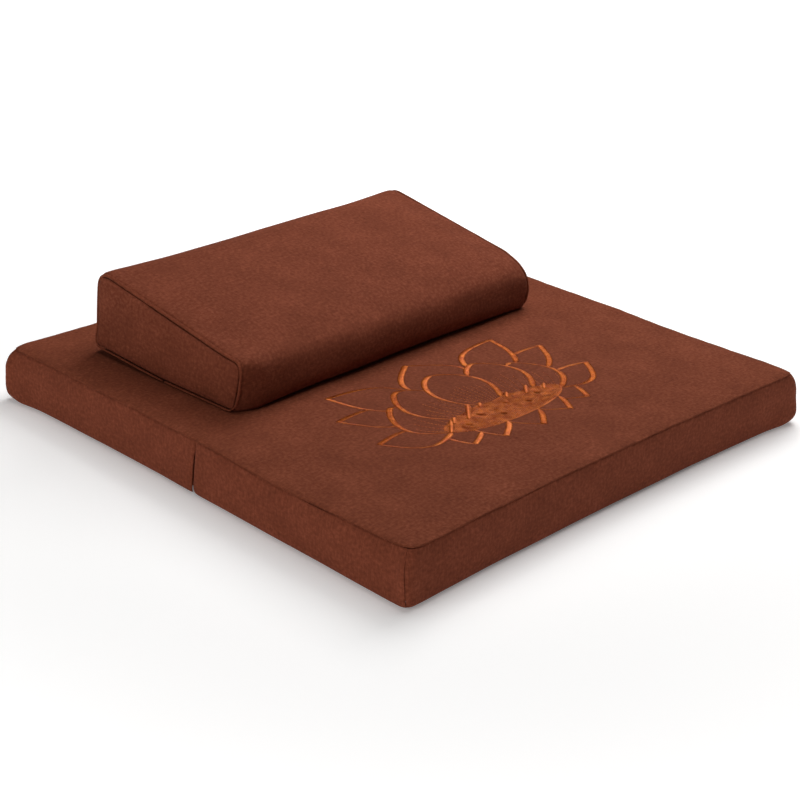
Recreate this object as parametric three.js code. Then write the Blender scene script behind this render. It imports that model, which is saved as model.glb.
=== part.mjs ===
// Folding meditation cushion: a square mat in two filled halves under one sheet of cloth, and a loose
// sloping wedge to sit on. Millimetres, +Z up. The origin is under the middle of the mat, X runs along
// its front edge and Y runs to the back, where the wedge lies.
import * as THREE from "three";
import { mergeVertices } from "three/addons/utils/BufferGeometryUtils.js";

// Sizes of the mat
const MAT_WIDTH = 700;
const MAT_DEPTH = 700;
const SEAM_HEIGHT = 69.5;
const FOLD_FROM_FRONT = 341;
const CORNER_RADIUS = 12;
const FOLD_CORNER_RADIUS = 4;
const CLOTH = 2;
const GAP = 0.3;
const TOP_CLEARANCE = 0.6;
const RIM_TUCK_OVER = 0.8;
const RIM_TUCK_UNDER = 1.6;
const FOOT_TUCK = 2.4;
const PAD_CLEARANCE = 0.9;
const PAD_RIM_TUCK = 0.8;

// How the filling shapes the mat
const RIM_RISE = 1.6;
const RIM_WIDTH = 9;
const CROWN = 1.6;
const CROWN_WIDTH = 62;
const FRONT_PULLED_IN = 8;
const BACK_PULLED_IN = 4;
const FRONT_HALF_SPREAD = 2.5;
const FRONT_HALF_SAG = 3;
const SIDE_FLARE = 5;
const FRONT_FLARE = 0.5;
const BACK_FLARE = 3;
const FLARE_HEIGHT = 14;
const PULL_FOCUS = 4;
const FOLD_DIP = 0.8;
const FOLD_DIP_WIDTH = 24;
const FOLD_LEAN = 5;
const FOLD_LEAN_WIDTH = 60;

// Sizes of the wedge, over its seams
const WEDGE_LENGTH = 516;
const WEDGE_DEPTH = 264;
const WEDGE_FRONT_HEIGHT = 63;
const WEDGE_BACK_HEIGHT = 110;
const WEDGE_FRONT_LEAN = 2;
const WEDGE_BACK_LEAN = 8;
const WEDGE_FRONT_TOP_RADIUS = 28;
const WEDGE_LEFT_FRONT_RADIUS = 10;
const WEDGE_LEFT_SHARE = 0.15;
const WEDGE_BACK_TOP_RADIUS = 19;
const WEDGE_FOOT_RADIUS = 5;
const WEDGE_CROWN = 6;
const WEDGE_CROWN_SHARE = 0.2;
const WEDGE_FRONT_BULGE = 3;
const WEDGE_FRONT_BULGE_FOCUS = 3;
const WEDGE_END_BULGE = 5;
const WEDGE_END_BULGE_SHARE = 0.5;
const WEDGE_RIM_RADIUS = 4;
const END_CLEARANCE = 0.9;
const WEDGE_TURN = THREE.MathUtils.degToRad(1.9);
const WEDGE_CENTRE_X = -17;
const WEDGE_CENTRE_Y = 143;

// Sizes of the welt round each end of the wedge
const WELT_RADIUS = 1.6;
const WELT_INSET = 1.5;
const WELT_OUT = 1.6;
const WELT_QUARTERS = 4;
const WELT_STEPS = 60;
const WELT_JOIN = 1.5;
const WELT_CLEARANCE = 1.3;
const END_PANEL_INSET = WELT_INSET + WELT_RADIUS + WELT_CLEARANCE;

const HALF_WIDTH = MAT_WIDTH / 2;
const HALF_DEPTH = MAT_DEPTH / 2;
const FOLD_Y = FOLD_FROM_FRONT - HALF_DEPTH;
const PLATEAU = SEAM_HEIGHT + CLOTH + RIM_RISE + CROWN;

// The side band from the top seam down to the seam under the mat. Inset is how far the band's outer
// face lies inside the mat's outline, and fold is the same at the fold, where the halves meet.
const BAND_SECTION = [
  { height: SEAM_HEIGHT - GAP, inset: 2.0, fold: 0.4 },
  { height: 62, inset: 0.2, fold: 0.4 },
  { height: 50, inset: -1.0, fold: 0.6 },
  { height: 32, inset: -1.4, fold: 0.8 },
  { height: 16, inset: -1.2, fold: 0.9 },
  { height: 8, inset: -0.4, fold: 1.4 },
  { height: 3.4, inset: 1.4, fold: 2.8 },
  { height: 1.0, inset: 4.2, fold: 4.8 },
];

// The two halves: which way each lies from the fold, and the depth it has there.
const HALVES = [
  { name: "front", side: -1, depth: FOLD_FROM_FRONT },
  { name: "rear", side: 1, depth: MAT_DEPTH - FOLD_FROM_FRONT },
];

// Distances from an edge to the grid lines that follow its rounding.
const EDGE_STEPS = [0, 3, 9, 26, 46];
const EVEN_STEP = 76;

const cloth = new THREE.MeshStandardMaterial({ color: 0x73422b, roughness: 0.92, metalness: 0 });
const bandCloth = new THREE.MeshStandardMaterial({ color: 0x6b3a2a, roughness: 0.92, metalness: 0 });
const wedgeCloth = new THREE.MeshStandardMaterial({ color: 0x6f3f29, roughness: 0.92, metalness: 0 });
const weltCloth = new THREE.MeshStandardMaterial({ color: 0x643523, roughness: 0.9, metalness: 0 });

const { clamp, lerp, smoothstep } = THREE.MathUtils;

// Grid lines across a length, close together near both ends and even between.
function gridLines(length, edgeSteps = EDGE_STEPS, evenStep = EVEN_STEP) {
  const near = edgeSteps.filter((step) => step < length / 2);
  const last = near[near.length - 1];
  const count = Math.max(1, Math.round((length - 2 * last) / evenStep));
  const middle = Array.from({ length: count - 1 }, (_, i) => lerp(last, length - last, (i + 1) / count));
  const far = near.map((step) => length - step).reverse();
  return [...near, ...middle, ...far];
}

// Six times the volume inside a closed mesh, below zero where its faces point inwards.
function signedVolume(geometry) {
  const points = geometry.getAttribute("position");
  const [a, b, c] = [new THREE.Vector3(), new THREE.Vector3(), new THREE.Vector3()];
  let sum = 0;
  for (let i = 0; i < geometry.index.count; i += 3) {
    a.fromBufferAttribute(points, geometry.index.getX(i));
    b.fromBufferAttribute(points, geometry.index.getX(i + 1));
    c.fromBufferAttribute(points, geometry.index.getX(i + 2));
    sum += a.dot(b.cross(c));
  }
  return sum;
}

// A closed grid box whose points are set by a function of their column, row and layer. A function
// that mirrors the grid turns the box inside out, so its triangles are then turned back.
function mouldedBox(columns, rows, layers, place) {
  const box = new THREE.BoxGeometry(columns, rows, layers, columns, rows, layers);
  box.translate(columns / 2, rows / 2, layers / 2);
  box.deleteAttribute("normal");
  box.deleteAttribute("uv");
  const moulded = mergeVertices(box);
  const points = moulded.getAttribute("position");
  for (let i = 0; i < points.count; i += 1) {
    const column = Math.round(points.getX(i));
    const row = Math.round(points.getY(i));
    const layer = Math.round(points.getZ(i));
    const placed = place(column, row, layer);
    points.setXYZ(i, placed.x, placed.y, placed.z);
  }
  if (signedVolume(moulded) < 0) moulded.index.array.reverse();
  moulded.computeVertexNormals();
  return moulded;
}

// Moves a point of a square corner onto its arc. The distances are those from the two edges.
function roundCorner(fromA, fromB, radius) {
  if (fromA >= radius || fromB >= radius) return { a: fromA, b: fromB };
  const da = radius - fromA;
  const db = radius - fromB;
  const share = Math.max(da, db) / Math.hypot(da, db);
  return { a: radius - da * share, b: radius - db * share };
}

// Rises from 0 at an edge to 1 at the given distance from it, steep first and level at the end.
function rolled(distance, width) {
  const t = clamp(distance / width, 0, 1);
  return Math.sqrt(1 - (1 - t) * (1 - t));
}

// The plan of the mat as the filling and the sewing pull it: a point of the straight plan goes in or
// out with the side that it is near, the corners flare below the seam, and the fold leans back at its
// foot.
function pulledPlan(x, y, z) {
  const nearFront = Math.pow(clamp(-y / HALF_DEPTH, 0, 1), PULL_FOCUS);
  const nearBack = Math.pow(clamp(y / HALF_DEPTH, 0, 1), PULL_FOCUS);
  const nearSide = Math.pow(clamp(Math.abs(x) / HALF_WIDTH, 0, 1), PULL_FOCUS);
  const midWidth = 1 - Math.pow(clamp(x / HALF_WIDTH, -1, 1), 2);
  const frontHalf = Math.sin(Math.PI * clamp((y + HALF_DEPTH) / FOLD_FROM_FRONT, 0, 1));
  const flare = nearSide * (nearFront + nearBack) * smoothstep(SEAM_HEIGHT - z, 0, FLARE_HEIGHT);
  const nearFold = 1 - smoothstep(Math.abs(y - FOLD_Y), 0, FOLD_LEAN_WIDTH);
  const lean = FOLD_LEAN * nearFold * (1 - clamp(z / SEAM_HEIGHT, 0, 1));
  const endFlare = (y > 0 ? BACK_FLARE : -FRONT_FLARE) * flare;
  const pull = FRONT_PULLED_IN * nearFront * midWidth - BACK_PULLED_IN * nearBack * midWidth;
  return {
    x: x + Math.sign(x) * (FRONT_HALF_SPREAD * nearSide * frontHalf + SIDE_FLARE * flare),
    y: y + pull + endFlare + lean,
    sag: FRONT_HALF_SAG * nearSide * frontHalf,
  };
}

// Puts a point of the straight mat in its pulled place. What lies at the floor stays there.
function onMat(x, y, z) {
  const plan = pulledPlan(x, y, z);
  return { x: plan.x, y: plan.y, z: z - (plan.sag * z) / SEAM_HEIGHT };
}

// Height of the top cloth's upper face over a point of the straight plan.
function topHeight(x, y) {
  const fromSide = HALF_WIDTH - Math.abs(x);
  const fromEnd = HALF_DEPTH - Math.abs(y);
  const rim = rolled(fromSide, RIM_WIDTH) * rolled(fromEnd, RIM_WIDTH);
  const crown = smoothstep(fromSide, 0, CROWN_WIDTH) * smoothstep(fromEnd, 0, CROWN_WIDTH);
  const dip = 1 - smoothstep(Math.abs(y - FOLD_Y), 0, FOLD_DIP_WIDTH);
  return SEAM_HEIGHT + CLOTH + RIM_RISE * rim + CROWN * crown - FOLD_DIP * dip * crown;
}

// The top cloth, one sheet over both halves and the hinge between them.
function topPanel() {
  const xLines = gridLines(MAT_WIDTH);
  const frontLines = gridLines(FOLD_FROM_FRONT);
  const rearLines = gridLines(MAT_DEPTH - FOLD_FROM_FRONT).map((line) => FOLD_FROM_FRONT + line);
  const yLines = [...frontLines, ...rearLines.slice(1)];
  return mouldedBox(xLines.length - 1, yLines.length - 1, 1, (column, row, layer) => {
    const right = xLines[column] > HALF_WIDTH;
    const back = yLines[row] > HALF_DEPTH;
    const tuck = layer === 0 ? RIM_TUCK_UNDER : RIM_TUCK_OVER;
    const fromSide = Math.max(tuck, right ? MAT_WIDTH - xLines[column] : xLines[column]);
    const fromEnd = Math.max(tuck, back ? MAT_DEPTH - yLines[row] : yLines[row]);
    const corner = roundCorner(fromSide, fromEnd, CORNER_RADIUS);
    const x = (right ? 1 : -1) * (HALF_WIDTH - corner.a);
    const y = (back ? 1 : -1) * (HALF_DEPTH - corner.b);
    return onMat(x, y, topHeight(x, y) - (layer === 0 ? CLOTH : 0));
  });
}

// A line of the band's section set back into the mat by a thickness, square to the section.
function bandLine(index, thickness) {
  const row = BAND_SECTION[index];
  const above = BAND_SECTION[Math.max(index - 1, 0)];
  const below = BAND_SECTION[Math.min(index + 1, BAND_SECTION.length - 1)];
  const run = below.inset - above.inset;
  const fall = above.height - below.height;
  const length = Math.hypot(run, fall);
  return {
    height: row.height + (thickness * run) / length,
    inset: row.inset + (thickness * fall) / length,
    fold: row.fold + (thickness * fall) / length,
  };
}

// A point of one half: distances in from the left side and out from the fold, at a line of the section.
function onHalf(half, fromLeft, fromFold, line, height) {
  const width = MAT_WIDTH - 2 * line.inset;
  const depth = half.depth - line.inset - line.fold;
  const x = (fromLeft / MAT_WIDTH) * width;
  const y = (fromFold / half.depth) * depth;
  const right = x > width / 2;
  const outer = y > depth / 2;
  const radius = outer ? CORNER_RADIUS : FOLD_CORNER_RADIUS;
  const corner = roundCorner(right ? width - x : x, outer ? depth - y : y, radius);
  const planX = (right ? 1 : -1) * (width / 2 - corner.a);
  const planY = FOLD_Y + half.side * (line.fold + (outer ? depth - corner.b : corner.b));
  return onMat(planX, planY, height === undefined ? line.height : height(planX, planY));
}

// The filled half of the mat, flat underneath and crowned on top.
function pad(half) {
  const xLines = gridLines(MAT_WIDTH);
  const foldLines = gridLines(half.depth);
  const sideLines = BAND_SECTION.map((_, index) => bandLine(index, CLOTH + PAD_CLEARANCE));
  sideLines[0].inset += PAD_RIM_TUCK;
  const lowest = sideLines[sideLines.length - 1];
  const foot = { height: 0, inset: lowest.inset + FOOT_TUCK, fold: lowest.fold + FOOT_TUCK };
  const lines = [...sideLines, foot].reverse();
  const layers = lines.length - 1;
  const under = (x, y) => topHeight(x, y) - CLOTH - TOP_CLEARANCE;
  return mouldedBox(xLines.length - 1, foldLines.length - 1, layers, (column, row, layer) => {
    return onHalf(half, xLines[column], foldLines[row], lines[layer], layer === layers ? under : undefined);
  });
}

// The strips of side band on a half: its left and right sides and the side away from the fold. The
// strips meet halfway round the corners.
const BANDS = HALVES.flatMap((half) => [
  { name: `${half.name}_half_left_band`, half, edge: "left" },
  { name: `${half.name}_half_right_band`, half, edge: "right" },
  { name: `${half.name}_half_${half.name === "front" ? "front" : "back"}_band`, half, edge: "outer" },
]);

// One strip of side band, its ends a gap short of its neighbours.
function bandStrip({ half, edge }) {
  const along = edge === "outer" ? MAT_WIDTH : half.depth;
  const lines = gridLines(along);
  lines[0] += GAP;
  lines[lines.length - 1] -= edge === "outer" ? GAP : 2 * GAP;
  const heights = BAND_SECTION.length - 1;
  const faces = [0, CLOTH].map((thickness) => BAND_SECTION.map((_, index) => bandLine(index, thickness)));
  return mouldedBox(lines.length - 1, 1, heights, (column, row, layer) => {
    const line = faces[row][layer];
    const distance = lines[column];
    if (edge === "outer") return onHalf(half, distance, half.depth, line);
    return onHalf(half, edge === "left" ? 0 : MAT_WIDTH, distance, line);
  });
}

// Height of the straight wedge at a share of its depth.
function wedgeHeight(share) {
  return lerp(WEDGE_FRONT_HEIGHT, WEDGE_BACK_HEIGHT, share);
}

// Radius of the wedge's top front edge at a share of its length. It is tight at the left end.
function frontRadius(long) {
  return lerp(WEDGE_LEFT_FRONT_RADIUS, WEDGE_FRONT_TOP_RADIUS, smoothstep(long, 0, WEDGE_LEFT_SHARE));
}

// A point of the wedge's section at a share of its length: shares of its depth and height, and how far
// the edges are drawn in.
function wedgeSection(long, deep, high, inset) {
  const depth = WEDGE_DEPTH - 2 * inset;
  const height = wedgeHeight(deep) - 2 * inset;
  const back = deep > 0.5;
  const top = high > 0.5;
  let radius = WEDGE_FOOT_RADIUS;
  if (top) radius = back ? WEDGE_BACK_TOP_RADIUS : frontRadius(long);
  const fromEnd = (back ? 1 - deep : deep) * depth;
  const fromLevel = (top ? 1 - high : high) * height;
  const corner = roundCorner(fromEnd, fromLevel, radius);
  const y = inset + (back ? depth - corner.a : corner.a);
  const z = inset + (top ? height - corner.b : corner.b);
  const rise = z / wedgeHeight(deep);
  const lean = lerp(WEDGE_FRONT_LEAN, WEDGE_BACK_LEAN, deep) * rise;
  const nearFront = Math.pow(1 - deep, WEDGE_FRONT_BULGE_FOCUS);
  const bulge = WEDGE_FRONT_BULGE * Math.sin(Math.PI * clamp(rise, 0, 1)) * nearFront;
  return { y: y - lean - bulge, z };
}

// How far the wedge's end swells out at a point of its section.
function endSwell(deep, high) {
  const across = rolled(Math.min(deep, 1 - deep), WEDGE_END_BULGE_SHARE);
  return WEDGE_END_BULGE * across * rolled(Math.min(high, 1 - high), WEDGE_END_BULGE_SHARE);
}

// How far the wedge's top swells up at a point, given the share of its length and of its section.
function topSwell(long, deep, high) {
  const fromEnds = rolled(Math.min(long, 1 - long), WEDGE_CROWN_SHARE);
  const fromEdges = Math.sin(Math.PI * clamp(deep, 0, 1));
  return WEDGE_CROWN * fromEnds * fromEdges * high * high;
}

const WEDGE_LONG_STEPS = [0, 1, 4, 22, 50];
const WEDGE_DEEP_STEPS = [0, 5, 10, 19, 28];
const WEDGE_HIGH_SHARES = [0, 0.06, 0.14, 0.36, 0.52, 0.62, 0.71, 0.79, 0.87, 0.94, 1];
const WEDGE_EVEN_STEP = 60;

const deepShares = gridLines(WEDGE_DEPTH, WEDGE_DEEP_STEPS, WEDGE_EVEN_STEP).map((y) => y / WEDGE_DEPTH);

// The filled wedge with the cloth that wraps its top, front, back and underside.
function wedgePad() {
  const longLines = gridLines(WEDGE_LENGTH, WEDGE_LONG_STEPS, WEDGE_EVEN_STEP);
  const layers = WEDGE_HIGH_SHARES.length - 1;
  return mouldedBox(longLines.length - 1, deepShares.length - 1, layers, (column, row, layer) => {
    const along = longLines[column];
    const deep = deepShares[row];
    const high = WEDGE_HIGH_SHARES[layer];
    const fromEnd = Math.min(along, WEDGE_LENGTH - along);
    const inset = WEDGE_RIM_RADIUS * (1 - rolled(fromEnd, WEDGE_RIM_RADIUS));
    const long = along / WEDGE_LENGTH;
    const point = wedgeSection(long, deep, high, inset);
    const side = long > 0.5 ? 1 : -1;
    const swell = fromEnd === 0 ? endSwell(deep, high) : 0;
    const lift = topSwell(long, deep, high);
    return { x: along + side * swell, y: point.y, z: point.z + lift };
  });
}

// The cloth over one end of the wedge. Side is -1 on the left and 1 on the right.
function endPanel(side) {
  const layers = WEDGE_HIGH_SHARES.length - 1;
  const long = side > 0 ? 1 : 0;
  return mouldedBox(1, deepShares.length - 1, layers, (column, row, layer) => {
    const deep = deepShares[row];
    const high = WEDGE_HIGH_SHARES[layer];
    const point = wedgeSection(long, deep, high, END_PANEL_INSET);
    const out = END_CLEARANCE + column * CLOTH + endSwell(deep, high);
    return { x: long * WEDGE_LENGTH + side * out, y: point.y, z: point.z };
  });
}

// The line of the welt round one end, from the middle of the foot at the back all the way round.
class WeltLine extends THREE.Curve {
  constructor(side) {
    super();
    this.long = side > 0 ? 1 : 0;
    this.x = this.long * WEDGE_LENGTH + side * WELT_OUT;
    const corners = [
      { deep: 0.5, high: 0 },
      { deep: 1, high: 0 },
      { deep: 1, high: 1 },
      { deep: 0, high: 1 },
      { deep: 0, high: 0 },
      { deep: 0.5, high: 0 },
    ];
    this.runs = corners.slice(1).map((to, index) => {
      const from = corners[index];
      const length = Math.hypot(
        (to.deep - from.deep) * WEDGE_DEPTH,
        to.high * wedgeHeight(to.deep) - from.high * wedgeHeight(from.deep),
      );
      return { from, to, length };
    });
    this.total = this.runs.reduce((sum, run) => sum + run.length, 0);
  }

  getPoint(t, target = new THREE.Vector3()) {
    let distance = clamp(t, 0, 1) * (this.total - WELT_JOIN);
    let run = this.runs[0];
    for (const next of this.runs) {
      run = next;
      if (distance <= next.length) break;
      distance -= next.length;
    }
    const share = clamp(distance / run.length, 0, 1);
    const deep = lerp(run.from.deep, run.to.deep, share);
    const high = lerp(run.from.high, run.to.high, share);
    const point = wedgeSection(this.long, deep, high, WELT_INSET);
    return target.set(this.x, point.y, point.z);
  }
}

// The narrow welt sewn into the seam round one end of the wedge.
function welt(side) {
  const section = new THREE.Shape();
  section.absarc(0, 0, WELT_RADIUS, 0, 2 * Math.PI);
  return new THREE.ExtrudeGeometry(section, {
    curveSegments: WELT_QUARTERS,
    steps: WELT_STEPS,
    extrudePath: new WeltLine(side),
  });
}

function named(name, geometry, material) {
  const mesh = new THREE.Mesh(geometry, material);
  mesh.name = name;
  return mesh;
}

const mat = new THREE.Group();
for (const half of HALVES) mat.add(named(`mat_${half.name}_pad`, pad(half), cloth));
for (const band of BANDS) mat.add(named(band.name, bandStrip(band), bandCloth));
mat.add(named("mat_top_panel", topPanel(), cloth));

// The wedge is built from its front left corner, and turned about its middle where it lies.
const wedgeBody = new THREE.Group();
wedgeBody.add(named("wedge_pad", wedgePad(), wedgeCloth));
for (const end of [{ name: "left", side: -1 }, { name: "right", side: 1 }]) {
  wedgeBody.add(named(`wedge_${end.name}_end`, endPanel(end.side), wedgeCloth));
  wedgeBody.add(named(`wedge_${end.name}_welt`, welt(end.side), weltCloth));
}
wedgeBody.position.set(-WEDGE_LENGTH / 2, -WEDGE_DEPTH / 2, 0);

const wedge = new THREE.Group();
wedge.add(wedgeBody);
wedge.position.set(WEDGE_CENTRE_X, WEDGE_CENTRE_Y, PLATEAU + GAP);
wedge.rotation.z = WEDGE_TURN;

const cushion = new THREE.Group();
cushion.add(mat, wedge);

export default cushion;
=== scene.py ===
# %% [markdown]
# A folding meditation cushion, made soft in Blender. The real thing is a square mat in two filled
# halves that share one top cloth, and a loose wedge to sit on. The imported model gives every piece
# its place and size. This script gives each one the look of sewn, filled cloth.

# %% Load the frame
import itertools
import math

import bmesh
import bpy
import numpy as np
from mathutils import Matrix, Vector
from mathutils.bvhtree import BVHTree


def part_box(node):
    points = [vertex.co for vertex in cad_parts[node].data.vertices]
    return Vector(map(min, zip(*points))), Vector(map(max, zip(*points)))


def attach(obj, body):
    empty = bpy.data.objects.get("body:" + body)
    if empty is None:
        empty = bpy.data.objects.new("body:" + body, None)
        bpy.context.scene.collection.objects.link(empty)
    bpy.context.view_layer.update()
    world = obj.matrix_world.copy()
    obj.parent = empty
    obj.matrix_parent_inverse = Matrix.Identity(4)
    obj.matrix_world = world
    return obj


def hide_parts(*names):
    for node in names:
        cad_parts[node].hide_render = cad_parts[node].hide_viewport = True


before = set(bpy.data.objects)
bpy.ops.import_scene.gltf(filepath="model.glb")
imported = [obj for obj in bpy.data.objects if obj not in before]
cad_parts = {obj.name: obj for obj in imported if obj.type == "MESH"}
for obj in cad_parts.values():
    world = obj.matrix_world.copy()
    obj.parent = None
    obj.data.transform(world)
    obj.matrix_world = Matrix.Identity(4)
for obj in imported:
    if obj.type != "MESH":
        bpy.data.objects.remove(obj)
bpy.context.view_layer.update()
print("frame loaded with", len(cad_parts), "nodes")

# %% [markdown]
# The photograph was taken from the front left, a little above the cushion, with a long lens. A camera
# could be placed by eye. Here its angles were found by fitting the mat's edges, so they are set as
# numbers: how far round, how high, how much it is tipped, and how far away it stands.

# %% Camera
MM = 0.001  # all lengths are in metres
CAMERA_ROUND = math.radians(-46.469)
CAMERA_HIGH = math.radians(24.166)
CAMERA_TIPPED = math.radians(2.4405)
CAMERA_AWAY = 2.3431
CAMERA_AIMS_AT = Vector((0.0356, 0.0421, -0.0093))
SENSOR_WIDTH = 36
LENS = 81


def into_scene(name, data):
    """A new object with this data, linked into the scene."""
    made = bpy.data.objects.new(name, data)
    bpy.context.scene.collection.objects.link(made)
    return made


away = Vector((
    math.sin(CAMERA_ROUND) * math.cos(CAMERA_HIGH),
    -math.cos(CAMERA_ROUND) * math.cos(CAMERA_HIGH),
    math.sin(CAMERA_HIGH),
))
level_right = (-away).cross(Vector((0, 0, 1))).normalized()
level_up = level_right.cross(-away)
tipped_right = math.cos(CAMERA_TIPPED) * level_right + math.sin(CAMERA_TIPPED) * level_up
tipped_up = math.cos(CAMERA_TIPPED) * level_up - math.sin(CAMERA_TIPPED) * level_right

camera = into_scene("camera", bpy.data.cameras.new("camera"))
camera.matrix_world = Matrix.Translation(CAMERA_AIMS_AT + CAMERA_AWAY * away) @ Matrix(
    (tipped_right, tipped_up, away)
).transposed().to_4x4()
camera.data.sensor_width = SENSOR_WIDTH
camera.data.lens = LENS
bpy.context.scene.camera = camera
print("camera stands at", [round(x, 3) for x in camera.matrix_world.translation])

# %% [markdown]
# Colours are written the way paint programs give them, as sRGB hex. Blender's shaders add light, so
# they want linear numbers, and one function turns the first into the second.

# %% Colour and nodes
def linear(hex_colour):
    """An sRGB hex colour as the linear colour that a shader socket takes."""
    parts = [int(hex_colour[i:i + 2], 16) / 255 for i in (1, 3, 5)]
    return [p / 12.92 if p <= 0.04045 else ((p + 0.055) / 1.055) ** 2.4 for p in parts] + [1.0]


def add(tree, kind, inputs=None, **settings):
    """Adds a shader node. Its inputs go by name, or by their number from the top, from 0.

    Each takes a number, a colour, a socket, or a node, which stands for its first output.
    """
    node = tree.nodes.new("ShaderNode" + kind)
    for name, value in settings.items():
        setattr(node, name, value)
    for socket, value in (inputs or {}).items():
        if isinstance(value, bpy.types.Node):
            value = value.outputs[0]
        if isinstance(value, bpy.types.NodeSocket):
            tree.links.new(value, node.inputs[socket])
        else:
            node.inputs[socket].default_value = value
    return node


def ease(tree, value, start, end, low=0.0, high=1.0):
    """A node whose value goes softly from low to high while its input goes from start to end."""
    ends = {0: value, 1: start, 2: end, 3: low, 4: high}
    return add(tree, "MapRange", ends, interpolation_type="SMOOTHSTEP")


def mixed(tree, share, first, second):
    """A node that mixes two numbers. Share is how much of the second goes in."""
    return add(tree, "Mix", {0: share, 2: first, 3: second}, data_type="FLOAT")


def new_material(name):
    """A material without nodes, and its node tree."""
    material = bpy.data.materials.new(name)
    material.use_nodes = True
    material.node_tree.nodes.clear()
    return material, material.node_tree


def shade(tree, inputs):
    """Ends a material with a Principled shader and the output that it feeds."""
    add(tree, "OutputMaterial", {0: add(tree, "BsdfPrincipled", inputs)})


# %% [markdown]
# The studio: a wide white floor, and three soft lamps. In the photograph the floor is so bright that it
# shines back onto the sides of the mat, while the front of the wedge, which looks down on brown cloth,
# stays dark. Lamps alone don't give that, so the floor glows a little itself, like the lit table that
# product photographers use, and more so further off, where it is the backdrop. Under the mat it doesn't
# glow, or light would leak out at the mat's foot. One big lamp hangs overhead, one stands high on the
# right, and a low one fills from the left.

# %% Floor and light
FLOOR_SIZE = 30
FLOOR_PAINT = "#fcfbfa"
FLOOR_BELOW = 0.4 * MM
GLOW_NEAR, GLOW_FAR = 0.225, 1.0
GLOW_FROM, GLOW_TO = 0.5, 1.6
SHADED_TO, LIT_FROM = 0.326, 0.349
BACKDROP, AIR = 0.25, 0.03
BACKDROP_FROM, BACKDROP_TO = 0.04, 0.16
LAMP_AIM = Vector((0, 0, 0.05))

# Matt white paper that glows a little round the mat, more at a distance, and not under the mat.
paper, tree = new_material("matt_studio_paper")
place = add(tree, "TexCoord").outputs["Object"]
distance = add(tree, "VectorMath", {0: place}, operation="LENGTH").outputs["Value"]
glow = ease(tree, distance, GLOW_FROM, GLOW_TO, GLOW_NEAR, GLOW_FAR)
size = add(tree, "VectorMath", {0: place}, operation="ABSOLUTE")
sides = add(tree, "SeparateXYZ", {0: size}).outputs
outside = add(tree, "Math", {0: sides[0], 1: sides[1]}, operation="MAXIMUM")
lit = ease(tree, outside, SHADED_TO, LIT_FROM)
shade(tree, {
    "Base Color": linear(FLOOR_PAINT),
    "Roughness": 0.9,
    "Emission Color": linear("#ffffff"),
    "Emission Strength": add(tree, "Math", {0: glow, 1: lit}, operation="MULTIPLY"),
})

bpy.ops.object.select_all(action="DESELECT")
bpy.ops.mesh.primitive_plane_add(size=FLOOR_SIZE, location=(0, 0, -FLOOR_BELOW))
floor = bpy.context.object
floor.name = "studio_floor"
floor.data.materials.append(paper)


def lamp(name, way_round, high, distance, size, power):
    """A square soft lamp that looks at the mat. Way round is in degrees: 0 right, 90 back."""
    data = bpy.data.lights.new(name, "AREA")
    data.shape = "SQUARE"
    data.size = size
    data.energy = power
    light = into_scene(name, data)
    turn, tilt = math.radians(way_round), math.radians(high)
    toward = Vector((math.cos(turn) * math.cos(tilt), math.sin(turn) * math.cos(tilt), math.sin(tilt)))
    light.location = LAMP_AIM + distance * toward
    light.rotation_euler = toward.to_track_quat("Z", "Y").to_euler()


lamp("overhead_lamp", 0, 88, 2.6, 2.2, 31)
lamp("right_lamp", 16, 52, 1.75, 1.2, 21.5)
lamp("left_fill_lamp", 180, 20, 2.6, 1.4, 12)

# The air is dim, with a bright backdrop round the horizon for views from low down.
world = bpy.data.worlds.new("studio_air")
world.use_nodes = True
air = world.node_tree
height = add(air, "SeparateXYZ", {0: add(air, "TexCoord").outputs["Generated"]}).outputs[2]
strength = ease(air, height, BACKDROP_FROM, BACKDROP_TO, BACKDROP, AIR)
background = air.nodes["Background"]
background.inputs["Color"].default_value = linear("#ffffff")
air.links.new(strength.outputs[0], background.inputs["Strength"])
bpy.context.scene.world = world
bpy.context.scene.view_settings.view_transform = "Standard"
print("floor and lamps are set")

# %% [markdown]
# The cover is a brown linen-look cloth: a plain weave of matt spun yarns, where some yarns are a
# little redder, darker or thicker than their neighbours. A picture of cloth could be wrapped round
# the pieces. A pattern made of noise and waves holds up at any distance, and it can be tuned. The
# pattern is laid out in millimetres on a map called weave, with up the cloth along its second axis.
# Real yarns of this kind lie about 0.5 mm apart. They are drawn 1.2 mm apart, because the picture
# couldn't show finer ones. The finish is matt, so the eye sees the bumps of the weave and no shine, and
# a trace of sheen lightens the cloth where it turns away.

# %% Linen-look cloth
YARN_SPACING = 1.2
WAVE_PERIOD = math.tau / 20
SLUB_LONG, SLUB_WIDE = 16, 1.5
FLECK_SIZE = 4.2
PATCH_SIZE = 55
WEAVE_DEPTH = 0.1 * MM
SLUB_DEPTH = 0.16 * MM
FLECK_SHARE, PATCH_SHARE = 0.6, 0.2
TONE_FROM, TONE_TO = 0.33, 0.67
NOISE_ROUGH = 0.6


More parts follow.
